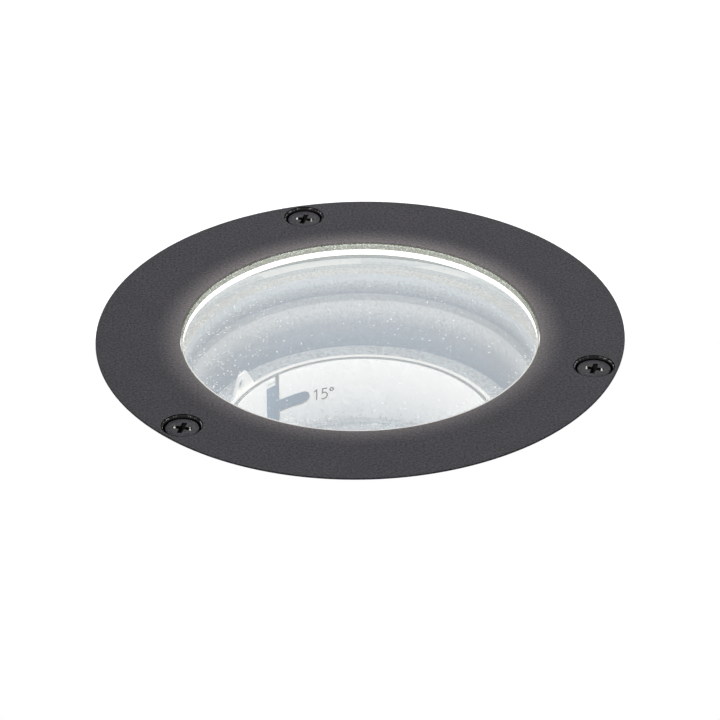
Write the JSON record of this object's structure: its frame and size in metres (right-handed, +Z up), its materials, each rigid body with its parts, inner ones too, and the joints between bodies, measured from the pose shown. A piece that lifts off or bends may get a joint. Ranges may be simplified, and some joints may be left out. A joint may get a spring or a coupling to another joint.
{
  "type": "in ground well light",
  "caption": "Round in ground well light: flush trim ring and glass over a cast housing in a finned heat sink, with a lens that slides in a slotted sleeve and locks to set the beam.",
  "frame": {"origin": "axis of the barrel, on the plane under the rim that rests on the ground or on a sleeve", "axes": "+Z up along the light's axis; -Y is the side that the picture was taken from"},
  "size_m": [0.13, 0.13, 0.1248],
  "materials": {
    "ring_coat": "fine textured graphite powder coat",
    "black_screw": "black oxide stainless",
    "brass": "machined",
    "clear_glass": "tempered, ground edge",
    "white_silicone": "translucent white",
    "grey_silicone": "matt",
    "black_rubber": "matt",
    "cast_body": "satin inside, dark coat outside",
    "satin_plate": "satin",
    "white_enamel": "white enamel",
    "white_plastic": "white",
    "grey_plastic": "moulded",
    "black_plastic": "moulded",
    "lens_clear": "fine frost on the top",
    "spring_steel": "plain",
    "dark_anodised": "extruded, black anodised",
    "plain_aluminium": "machined",
    "board_white": "solder mask on aluminium",
    "emitter": "phosphor disc",
    "board_green": "solder mask",
    "ferrite": "wound drum",
    "capacitor_sleeve": "shrink sleeve",
    "terminal_plastic": "moulded",
    "lead_insulation": "silicone lead"
  },
  "bodies": {
    "root": {"trim_ring": "ring_coat", "trim_screws": "black_screw", "thread_inserts": "brass", "glass_lens": "clear_glass", "glass_gasket": "white_silicone", "seat_seal": "grey_silicone", "housing": "cast_body", "heat_sink": "dark_anodised", "module_plate": "satin_plate", "rim_bezel": "white_plastic", "module_yoke": "white_enamel", "index_sleeve": "white_enamel", "sleeve_screws": "spring_steel", "heat_spreader": "plain_aluminium", "module_screws": "spring_steel", "led_board": "board_white", "led_emitter": "emitter", "led_holder": "white_plastic", "led_holder_screws": "spring_steel", "led_leads": "lead_insulation", "lead_grommet": "black_rubber", "driver_board": "board_green", "driver_screws": "spring_steel", "driver_inductor": "ferrite", "driver_capacitors": "capacitor_sleeve", "terminal_block": "terminal_plastic", "base_cap": "ring_coat", "base_seal": "black_rubber", "cap_screws": "black_screw", "gland_body": "black_plastic", "gland_seal": "black_rubber", "gland_nut": "black_plastic", "gland_locknut": "black_plastic", "vent_plug": "black_plastic"},
    "lens_carriage": {"lens_cell": "grey_plastic", "optic_lens": "lens_clear", "lens_clip": "spring_steel", "cell_friction_ring": "black_rubber", "collar_clip": "spring_steel"},
    "lock_ring": {"lock_collar": "grey_plastic", "index_pins": "brass"}
  },
  "joints": [
    {"name": "lens_lift", "type": "slide", "parent": "root", "child": "lens_carriage", "axis": [0, 0, 1], "range_m": [-0.016, 0.016]},
    {"name": "collar_turn", "type": "hinge", "parent": "lens_carriage", "child": "lock_ring", "pos_m": [0, 0, -0.0441], "axis": [0, 0, 1], "range_deg": [-16, 0]}
  ]
}
